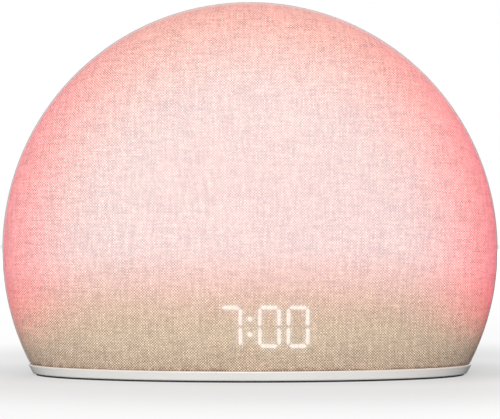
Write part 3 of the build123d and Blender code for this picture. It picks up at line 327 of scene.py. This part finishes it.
def cloth_material():
    """Plain-woven cloth with the lamp's glow and the lit time coming through it."""
    recipe = Recipe("cloth", Roughness=0.92, Sheen_Weight=0.08, Sheen_Roughness=0.5,
                    Specular_IOR_Level=0.2)
    x, y, z = recipe.node("SeparateXYZ", recipe.place()).outputs
    warp_up, crown, shade = plain_weave(recipe)
    yarn = recipe.scale(recipe.blend(warp_up, WEFT_COLOUR, WARP_COLOUR), shade)

    # pale in the middle, deep rose at the rim, gone behind the display
    reach = recipe.distance(x, recipe.math("SUBTRACT", z, centre_z))
    rim = recipe.math("POWER", recipe.fade(reach, RIM_START, RIM_END), RIM_STEEPNESS)
    cloth, glow = lit_cloth_colours(recipe, x, z, rim, yarn)
    recipe.link(cloth, "Base Color")

    away = from_time(recipe, x, z)
    front = recipe.fade(y, *DIGIT_DEPTHS)
    digits = recipe.math("MULTIPLY", recipe.fade(away, BAR_BLUR, -BAR_BLUR), front)
    halo = recipe.math("MULTIPLY", recipe.fade(away, HALO_REACH, 0.0), front)
    glow = recipe.blend(1.0, glow, recipe.blend(halo, BLACK, HALO_LIGHT), "ADD")
    recipe.link(recipe.blend(digits, glow, DIGIT_LIGHT), "Emission Color")

    swing = recipe.math("MULTIPLY_ADD", rim, RIM_SWING_CHANGE, MIDDLE_SWING)
    through = recipe.math("MULTIPLY_ADD", recipe.math("SUBTRACT", 0.5, warp_up), swing, 1.0)
    slubbed = recipe.math("MULTIPLY_ADD", recipe.math("SUBTRACT", shade, 1.0), rim, 1.0)
    recipe.link(recipe.math("MULTIPLY", through, slubbed), "Emission Strength")
    recipe.bump(crown, THREAD_RELIEF, THREAD_RELIEF_SHARE)
    return recipe.material


# ---- Other finishes -----------------------------------------------------------------------------
PLASTIC_CLOUD = 35.0                # clouds, streaks, patches and grains are scales of noises
PLASTIC_SPREAD = 0.06               # spreads are of the roughness, either way
GRAIN_SHARE = 0.5                   # of a grain's depth that its bump shows
METAL_STREAKS = 400.0
STREAK_SHADE = 0.85
STREAK_ROUGHNESS = (0.8, 1.25)      # times the metal's own
STREAK_RELIEF = 0.01 * MM
FINE_DETAIL = 3.0
TRACK_SCALE = 420.0
TRACK_GAP = 0.03
TRACK_RELIEF = 0.02 * MM
TRACK_PATCHES = 90.0
PATCH_EDGE = (0.45, 0.55)
MASK_GRAIN = 800.0
MASK_SPREAD = 0.08
RELIEF_SHARE = 0.4                  # of a streak's or track's height that its bump shows
WOVEN_EDGE = 0.5
WOVEN_RELIEF_SHARE = 0.7
FUZZ_GRAIN = 1800.0
FUZZ_SPREAD = 0.05
BASE_COLOURS = ((0.80, 0.79, 0.765), (0.84, 0.83, 0.81))
# painted glow: warm tint along the base's top edge, for the cloth's light from the seam
BASE_EDGE_PAINTED_GLOW = (0.80, 0.72, 0.66)
BASE_PAINTED_GLOW_HEIGHT = 1.3 * MM
BASE_ROUGHNESS = (0.34, 0.46)
BASE_CLOUD = 30.0
BASE_GRAIN = 2200.0
BASE_RELIEF = 0.008 * MM


def spread(value, by):
    """The values that far below and above one."""
    return value - by, value + by


def moulded(name, colour, roughness, grain=2500.0, depth=0.02, mottle=0.03, **settings):
    """Moulded plastic or rubber: one colour with a faint cloud in it, and a grain as deep as depth in mm."""
    recipe = Recipe(name, **settings)
    place = recipe.place()
    cloud = recipe.noise(place, PLASTIC_CLOUD, FINE_DETAIL)
    darker = tuple(c * (1 - mottle) for c in colour)
    lighter = tuple(min(1.0, c * (1 + mottle)) for c in colour)
    recipe.link(recipe.blend(recipe.fade(cloud, *NOISE_BAND), darker, lighter), "Base Color")
    grain_height = recipe.noise(place, grain)
    recipe.link(recipe.fade(grain_height, *GRAIN_BAND, *spread(roughness, PLASTIC_SPREAD)), "Roughness")
    recipe.bump(grain_height, depth * MM, GRAIN_SHARE)
    return recipe.material


def metal(name, colour, roughness, streak=(1.0, 1.0, 12.0)):
    """Plated or drawn metal, with fine streaks."""
    recipe = Recipe(name, Metallic=1.0)
    stretched = recipe.node("Mapping", recipe.place(), None, None, streak).outputs[0]
    streaks = recipe.noise(stretched, METAL_STREAKS, FINE_DETAIL)
    darker = tuple(c * STREAK_SHADE for c in colour)
    recipe.link(recipe.blend(streaks, darker, colour), "Base Color")
    smooth, rough = (roughness * share for share in STREAK_ROUGHNESS)
    recipe.link(recipe.fade(streaks, *NOISE_BAND, smooth, rough), "Roughness")
    recipe.bump(streaks, STREAK_RELIEF, RELIEF_SHARE)
    return recipe.material


def circuit_board(name, mask, trace, roughness=0.35):
    """Solder mask with faint tracks under it."""
    recipe = Recipe(name, Coat_Weight=0.3, Coat_Roughness=0.2)
    place = recipe.place()
    cells = recipe.node("TexBrick", place)
    cells.inputs["Scale"].default_value = TRACK_SCALE
    cells.inputs["Mortar Size"].default_value = TRACK_GAP
    tracks = recipe.math("SUBTRACT", 1.0, cells.outputs["Fac"], clamp=True)
    where = recipe.fade(recipe.noise(place, TRACK_PATCHES, 1.0), *PATCH_EDGE)
    recipe.link(recipe.blend(recipe.math("MULTIPLY", tracks, where), mask, trace), "Base Color")
    mask_grain = recipe.noise(place, MASK_GRAIN)
    recipe.link(recipe.fade(mask_grain, *NOISE_BAND, *spread(roughness, MASK_SPREAD)), "Roughness")
    recipe.bump(tracks, TRACK_RELIEF, RELIEF_SHARE)
    return recipe.material


def woven(name, dark, light, thread, roughness=0.9):
    """Small woven cloth, laid out in x and z."""
    recipe = Recipe(name, Sheen_Weight=0.2)
    x, _, z = recipe.node("SeparateXYZ", recipe.place()).outputs
    crossing = thread_crossing(recipe, x, z, thread)
    light_up = recipe.fade(crossing, -WOVEN_EDGE, WOVEN_EDGE)
    recipe.link(recipe.blend(light_up, dark, light), "Base Color")
    fuzz = recipe.noise(recipe.place(), FUZZ_GRAIN)
    recipe.link(recipe.fade(fuzz, *NOISE_BAND, *spread(roughness, FUZZ_SPREAD)), "Roughness")
    recipe.bump(recipe.math("ABSOLUTE", crossing), thread / 3, WOVEN_RELIEF_SHARE)
    return recipe.material


def base_material():
    """White base, with a painted warm glow along its top edge for the light that leaks from the seam."""
    recipe = Recipe("base_plastic")
    place = recipe.place()
    z = recipe.node("SeparateXYZ", place).outputs[2]
    grain = recipe.noise(place, BASE_GRAIN)
    # painted glow along the top edge, put into the base colour
    edge = recipe.fade(z, seam_z - BASE_PAINTED_GLOW_HEIGHT, seam_z)
    cloud = recipe.fade(recipe.noise(place, BASE_CLOUD), *NOISE_BAND)
    recipe.link(recipe.blend(edge, recipe.blend(cloud, *BASE_COLOURS), BASE_EDGE_PAINTED_GLOW), "Base Color")
    recipe.link(recipe.fade(grain, *GRAIN_BAND, *BASE_ROUGHNESS), "Roughness")
    recipe.bump(grain, BASE_RELIEF, GRAIN_SHARE)
    return recipe.material


finishes = {
    "cloth": cloth_material(),
    "opal_plastic": moulded("opal_plastic", (0.90, 0.88, 0.86), 0.4, Subsurface_Weight=0.2),
    "trim_plastic": moulded("trim_plastic", (0.52, 0.42, 0.41), 0.5),
    "case_plastic": moulded("case_plastic", (0.80, 0.79, 0.765), 0.55,
                            grain=1600.0, depth=0.05, mottle=0.015),
    "base_plastic": base_material(),
    "rubber": moulded("rubber", (0.018, 0.018, 0.017), 0.8, grain=900.0, depth=0.06, mottle=0.15),
    "frame_plastic": moulded("frame_plastic", (0.82, 0.82, 0.81), 0.45),
    "dark_plastic": moulded("dark_plastic", (0.025, 0.025, 0.027), 0.6, mottle=0.1),
    "white_board": circuit_board("white_board", (0.86, 0.86, 0.85), (0.74, 0.74, 0.72)),
    "lamp_package": moulded("lamp_package", (0.92, 0.82, 0.42), 0.25, mottle=0.06),
    "clear_guide": moulded("clear_guide", (0.90, 0.90, 0.88), 0.2, IOR=1.49),
    "pressed_steel": moulded("pressed_steel", (0.035, 0.035, 0.037), 0.35,
                             grain=3000.0, depth=0.03, mottle=0.1),
    "plated_steel": metal("plated_steel", (0.66, 0.66, 0.63), 0.32),
    "ferrite": moulded("ferrite", (0.075, 0.075, 0.078), 0.7, grain=1200.0, depth=0.06, mottle=0.2),
    "cone_paper": moulded("cone_paper", (0.045, 0.043, 0.04), 0.85, grain=1500.0, depth=0.08, mottle=0.25),
    "copper_wire": metal("copper_wire", (0.72, 0.34, 0.16), 0.3, streak=(1.0, 20.0, 1.0)),
    "spider_cloth": woven("spider_cloth", (0.42, 0.29, 0.10), (0.66, 0.48, 0.20), 0.35 * MM),
    "speaker_cloth": woven("speaker_cloth", (0.02, 0.02, 0.02), (0.07, 0.07, 0.07), 0.3 * MM),
    "green_board": circuit_board("green_board", (0.02, 0.16, 0.07), (0.05, 0.26, 0.12)),
    "chip_plastic": moulded("chip_plastic", (0.03, 0.03, 0.032), 0.5, grain=2000.0, depth=0.04, mottle=0.12),
    "capacitor_sleeve": moulded("capacitor_sleeve", (0.03, 0.03, 0.09), 0.25, mottle=0.1),
    "white_nylon": moulded("white_nylon", (0.80, 0.77, 0.68), 0.5),
    "key_plastic": moulded("key_plastic", (0.70, 0.68, 0.655), 0.5, grain=1800.0, depth=0.04),
    "spring_steel": metal("spring_steel", (0.62, 0.62, 0.63), 0.25, streak=(12.0, 1.0, 1.0)),
    "screw_steel": metal("screw_steel", (0.40, 0.40, 0.41), 0.35),
    "cable_sleeve": moulded("cable_sleeve", (0.05, 0.05, 0.052), 0.55, mottle=0.12),
}
slot_of = {part["node"]: part["material_slot"] for part in frame["record"]["subparts"]}


def dress(piece, slot):
    """Give a piece its slot's finish."""
    piece.data.materials.clear()
    piece.data.materials.append(finishes[slot])


for name, node in frame["nodes"].items():
    dress(node, slot_of[name])


# ---- Mesh helpers -------------------------------------------------------------------------------
def make_ring(shape, middle, radius, y, steps):
    """Points round the front-to-rear line through a middle; a single one where the radius is 0."""
    turns = (2 * math.pi * step / steps for step in range(steps if radius else 1))
    return [shape.verts.new((middle.x + radius * math.cos(turn), y, middle.z + radius * math.sin(turn)))
            for turn in turns]


def join_rings(shape, rings):
    """Smooth faces between rings of points, the first of which may be a single point."""
    for inner, outer in zip(rings, rings[1:]):
        for i in range(len(outer)):
            j = (i + 1) % len(outer)
            inside = [inner[j], inner[i]] if len(inner) > 1 else [inner[0]]
            shape.faces.new([outer[i], outer[j], *inside])
    for face in shape.faces:
        face.smooth = True


def finish_mesh(shape, name):
    """The object made of a bmesh."""
    mesh = bpy.data.meshes.new(name)
    shape.to_mesh(mesh)
    shape.free()
    piece = bpy.data.objects.new(name, mesh)
    bpy.context.scene.collection.objects.link(piece)
    return piece


def thicken(piece, thickness, offset):
    """Give a surface its thickness: inwards at an offset of -1, to both sides at 0."""
    thick = piece.modifiers.new("thickness", "SOLIDIFY")
    thick.thickness = thickness
    thick.offset = offset


# ---- Cloth cover --------------------------------------------------------------------------------
COVER_THICKNESS = 0.8 * MM
HEM_CORNER = 0.6 * MM
HEM_WIDTH = 2.0 * MM
BULGE_STEPS = 56
CORNER_STEPS = 4
ROUND_STEPS = 224
COVER_LIFT = 0.05 * MM              # gap between the cloth's edges and what they stop at
EVEN_REACH = 0.90                   # out to here the pulled cloth's weave looks even from the front
STEEP_SHARE = 0.25                  # of the bulge's extra length that cut cloth fills there


def cover_profile():
    """(radius, y) points of the cloth from its pole to its hem, on its outer side."""
    points = []
    for step in range(BULGE_STEPS + 1):
        turn = math.pi / 2 * step / BULGE_STEPS
        points.append((cloth_radius * math.sin(turn), belt_front - bulge_depth * math.cos(turn)))
    hem_y = belt_back - COVER_LIFT
    for step in range(CORNER_STEPS + 1):
        turn = math.pi / 2 * step / CORNER_STEPS
        points.append((cloth_radius - HEM_CORNER * (1 - math.cos(turn)),
                       hem_y - HEM_CORNER * (1 - math.sin(turn))))
    points.append((cloth_radius - HEM_WIDTH, hem_y))
    return points


def cut_length(start, end):
    """Length of cut cloth that makes a stretch of the cover's profile."""
    (r0, y0), (r1, y1) = start, end
    along = math.hypot(r1 - r0, y1 - y0)
    outward = abs(r1 - r0)
    eased = min(1.0, max(0.0, (r0 / cloth_radius - EVEN_REACH) / (1 - EVEN_REACH)))
    slack = STEEP_SHARE + (1 - STEEP_SHARE) * eased
    return outward + slack * (along - outward)


def turned_mesh(points):
    """Surface turned about the front-to-rear line, with the weave's map over the cut cloth."""
    shape = bmesh.new()
    weave = shape.loops.layers.uv.new("weave")
    lengths = [0.0]
    for start, end in zip(points, points[1:]):
        lengths.append(lengths[-1] + cut_length(start, end))
    centre = Vector((0, 0, centre_z))
    where = {}
    rings = []
    for (radius, y), length in zip(points, lengths):
        ring = make_ring(shape, centre, radius, y, ROUND_STEPS)
        for step, vertex in enumerate(ring):
            angle = 2 * math.pi * step / ROUND_STEPS
            where[vertex] = (length * math.cos(angle), length * math.sin(angle))
        rings.append(ring)
    join_rings(shape, rings)
    for face in shape.faces:
        for loop in face.loops:
            loop[weave].uv = where[loop.vert]
    return shape


def make_cover():
    """The cloth cover, stretched over the diffuser and clamped by the trim ring."""
    shape = turned_mesh(cover_profile())
    bmesh.ops.bisect_plane(shape, geom=shape.verts[:] + shape.edges[:] + shape.faces[:],
                           plane_co=(0, 0, seam_z + COVER_LIFT), plane_no=(0, 0, -1), clear_outer=True)
    bmesh.ops.recalc_face_normals(shape, faces=shape.faces)
    cover = finish_mesh(shape, "woven_cover")
    thicken(cover, COVER_THICKNESS, -1)
    dress(cover, "cloth")
    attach(cover, "case")
    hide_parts("fabric_cover")


make_cover()

# ---- Speaker's cloth ----------------------------------------------------------------------------
SPEAKER_RINGS = 12
SPEAKER_STEPS = 72
SPEAKER_CROWN = 0.15 * MM           # how far the cloth bulges


def make_speaker_cloth():
    """Acoustic cloth, stretched over the speaker's flange and bulging a little in its middle."""
    low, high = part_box("speaker_cloth")
    radius = (high.x - low.x) / 2
    middle = (low + high) / 2
    shape = bmesh.new()
    rings = []
    for ring in range(SPEAKER_RINGS + 1):
        share = ring / SPEAKER_RINGS
        y = middle.y + SPEAKER_CROWN * (1 - share ** 2)
        rings.append(make_ring(shape, middle, radius * share, y, SPEAKER_STEPS))
    join_rings(shape, rings)
    cloth = finish_mesh(shape, "grille_cloth")
    thicken(cloth, high.y - low.y - SPEAKER_CROWN, 0)
    dress(cloth, "speaker_cloth")
    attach(cloth, "case")
    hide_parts("speaker_cloth")


make_speaker_cloth()

# ---- Speaker's spider ---------------------------------------------------------------------------
SPIDER_THICKNESS = 0.3 * MM
SPIDER_RINGS = 56
SPIDER_STEPS = 96
SPIDER_LIP = 1.2 * MM               # width of its flat inner and outer lips
SPIDER_WAVES = 3
SPIDER_WAVE_HEIGHT = 0.25 * MM
SPIDER_DIP = 0.55 * MM              # how far forward the inner lip lies, clear of the cone at its limit


def make_spider():
    """Pressed cloth disc that centres the coil, corrugated between two flat lips."""
    node = frame["nodes"]["speaker_spider"]
    low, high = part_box("speaker_spider")
    middle = (low + high) / 2
    outer = (high.x - low.x) / 2
    inner = min(math.hypot(v.co.x - middle.x, v.co.z - middle.z) for v in node.data.vertices)
    shape = bmesh.new()
    rings = []
    for ring in range(SPIDER_RINGS + 1):
        radius = inner + (outer - inner) * ring / SPIDER_RINGS
        share = (radius - inner - SPIDER_LIP) / (outer - inner - 2 * SPIDER_LIP)
        share = min(1.0, max(0.0, share))
        dip = SPIDER_DIP * (1 + math.cos(math.pi * share)) / 2
        y = middle.y - dip + SPIDER_WAVE_HEIGHT * math.sin(2 * math.pi * SPIDER_WAVES * share)
        rings.append(make_ring(shape, middle, radius, y, SPIDER_STEPS))
    join_rings(shape, rings)
    spider = finish_mesh(shape, "coil_spider")
    thicken(spider, SPIDER_THICKNESS, 0)
    dress(spider, "spider_cloth")
    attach(spider, "case")
    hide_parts("speaker_spider")


make_spider()

# ---- Button springs -----------------------------------------------------------------------------
SPRING_WIRE = 0.5 * MM
SPRING_TURNS = 4
SPRING_STEPS = 32                   # per turn
WIRE_SIDES = 10


def make_spring(side):
    """Coil spring under a button, as tall as its CAD part."""
    node = f"button_spring_{side}"
    low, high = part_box(node)
    middle = (low + high) / 2
    radius = (high.x - low.x - SPRING_WIRE) / 2
    rise = high.z - low.z - SPRING_WIRE
    climb = rise / (SPRING_TURNS * 2 * math.pi)
    foot = Vector((middle.x, middle.y, low.z + SPRING_WIRE / 2))
    shape = bmesh.new()
    rings = []
    for step in range(SPRING_TURNS * SPRING_STEPS + 1):
        turn = 2 * math.pi * step / SPRING_STEPS
        out = Vector((math.cos(turn), math.sin(turn), 0))
        along = Vector((-radius * out.y, radius * out.x, climb)).normalized()
        across = along.cross(out)
        core = foot + radius * out + Vector((0, 0, climb * turn))
        rings.append([
            shape.verts.new(core + SPRING_WIRE / 2 * (math.cos(angle) * out + math.sin(angle) * across))
            for angle in (2 * math.pi * i / WIRE_SIDES for i in range(WIRE_SIDES))
        ])
    join_rings(shape, rings)
    shape.faces.new(rings[0])
    shape.faces.new(rings[-1])
    bmesh.ops.recalc_face_normals(shape, faces=shape.faces)
    spring = finish_mesh(shape, f"press_spring_{side}")
    dress(spring, slot_of[node])
    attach(spring, "case")
    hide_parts(node)
    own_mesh(spring)


make_spring("left")
make_spring("right")

# ---- Stage --------------------------------------------------------------------------------------
FLOOR_REACH = 3.0
FLOOR_DIFFUSE = 0.30
FLOOR_FILL = 0.787
# painted shadow: soft shades round the clock, each an ellipse as much longer in x as its stretch says
PAINTED_SHADOW_POOLS = [
    {"middle": (0.0145, 0.027), "stretch": 1.36, "inner": 0.097, "outer": 0.2065, "level": 0.77},
    {"middle": (0.0074, 0.0154), "stretch": 1.95, "inner": 0.026, "outer": 0.082, "level": 0.66},
]
WORLD_LEVEL = 0.25
LAMP_SIZE = 1.0
LAMPS = {"key": ((-0.25, -2.4, 0.70), 56.0), "back": ((0.35, 2.4, 0.75), 40.0)}  # place and watts


def make_floor():
    """Pale floor, a little greyer in soft pools of painted shadow where the clock stands."""
    shape = bmesh.new()
    bmesh.ops.create_grid(shape, x_segments=2, y_segments=2, size=FLOOR_REACH)
    floor = finish_mesh(shape, "floor")
    recipe = Recipe("floor")
    x, y, _ = recipe.node("SeparateXYZ", recipe.place()).outputs
    level = FLOOR_FILL
    # painted shadow: each pool lowers the floor's fill towards its level
    for pool in PAINTED_SHADOW_POOLS:
        middle_x, middle_y = pool["middle"]
        across = recipe.math("DIVIDE", recipe.math("SUBTRACT", x, middle_x), pool["stretch"])
        away = recipe.distance(across, recipe.math("SUBTRACT", y, middle_y))
        shade = recipe.fade(away, pool["inner"], pool["outer"], pool["level"], 1.0)
        level = recipe.math("MULTIPLY", level, shade)
    seen = recipe.node("LightPath").outputs["Is Camera Ray"]
    diffuse = recipe.node("BsdfDiffuse", (FLOOR_DIFFUSE,) * 3 + (1,))
    fill = recipe.node("Emission", (1, 1, 1, 1), recipe.math("MULTIPLY", level, seen))
    both = recipe.node("AddShader", diffuse.outputs[0], fill.outputs[0])
    recipe.tree.links.new(both.outputs[0], recipe.tree.nodes["Material Output"].inputs[0])
    floor.data.materials.append(recipe.material)


def make_lamp(name, place, power):
    """Square soft light aimed at the clock."""
    data = bpy.data.lights.new(name, "AREA")
    data.size = LAMP_SIZE
    data.energy = power
    lamp = bpy.data.objects.new(name, data)
    lamp.location = place
    aim = Vector((0, 0, centre_z)) - Vector(place)
    lamp.rotation_euler = aim.to_track_quat("-Z", "Y").to_euler()
    bpy.context.scene.collection.objects.link(lamp)


def make_world():
    """Even studio light, seen as white behind the clock."""
    world = bpy.data.worlds.new("studio")
    world.use_nodes = True
    tree = world.node_tree
    background = tree.nodes["Background"]
    path = tree.nodes.new("ShaderNodeLightPath")
    seen = path.outputs["Is Camera Ray"]
    for ray in ("Is Glossy Ray", "Is Transmission Ray"):
        larger = tree.nodes.new("ShaderNodeMath")
        larger.operation = "MAXIMUM"
        tree.links.new(seen, larger.inputs[0])
        tree.links.new(path.outputs[ray], larger.inputs[1])
        seen = larger.outputs[0]
    strength = tree.nodes.new("ShaderNodeMapRange")
    tree.links.new(seen, strength.inputs["Value"])
    strength.inputs["To Min"].default_value = WORLD_LEVEL
    strength.inputs["To Max"].default_value = 1.0
    tree.links.new(strength.outputs[0], background.inputs["Strength"])
    background.inputs["Color"].default_value = (1, 1, 1, 1)
    bpy.context.scene.world = world


make_floor()
make_world()
for name, (place, power) in LAMPS.items():
    make_lamp(name, place, power)
bpy.context.scene.view_settings.view_transform = "Standard"
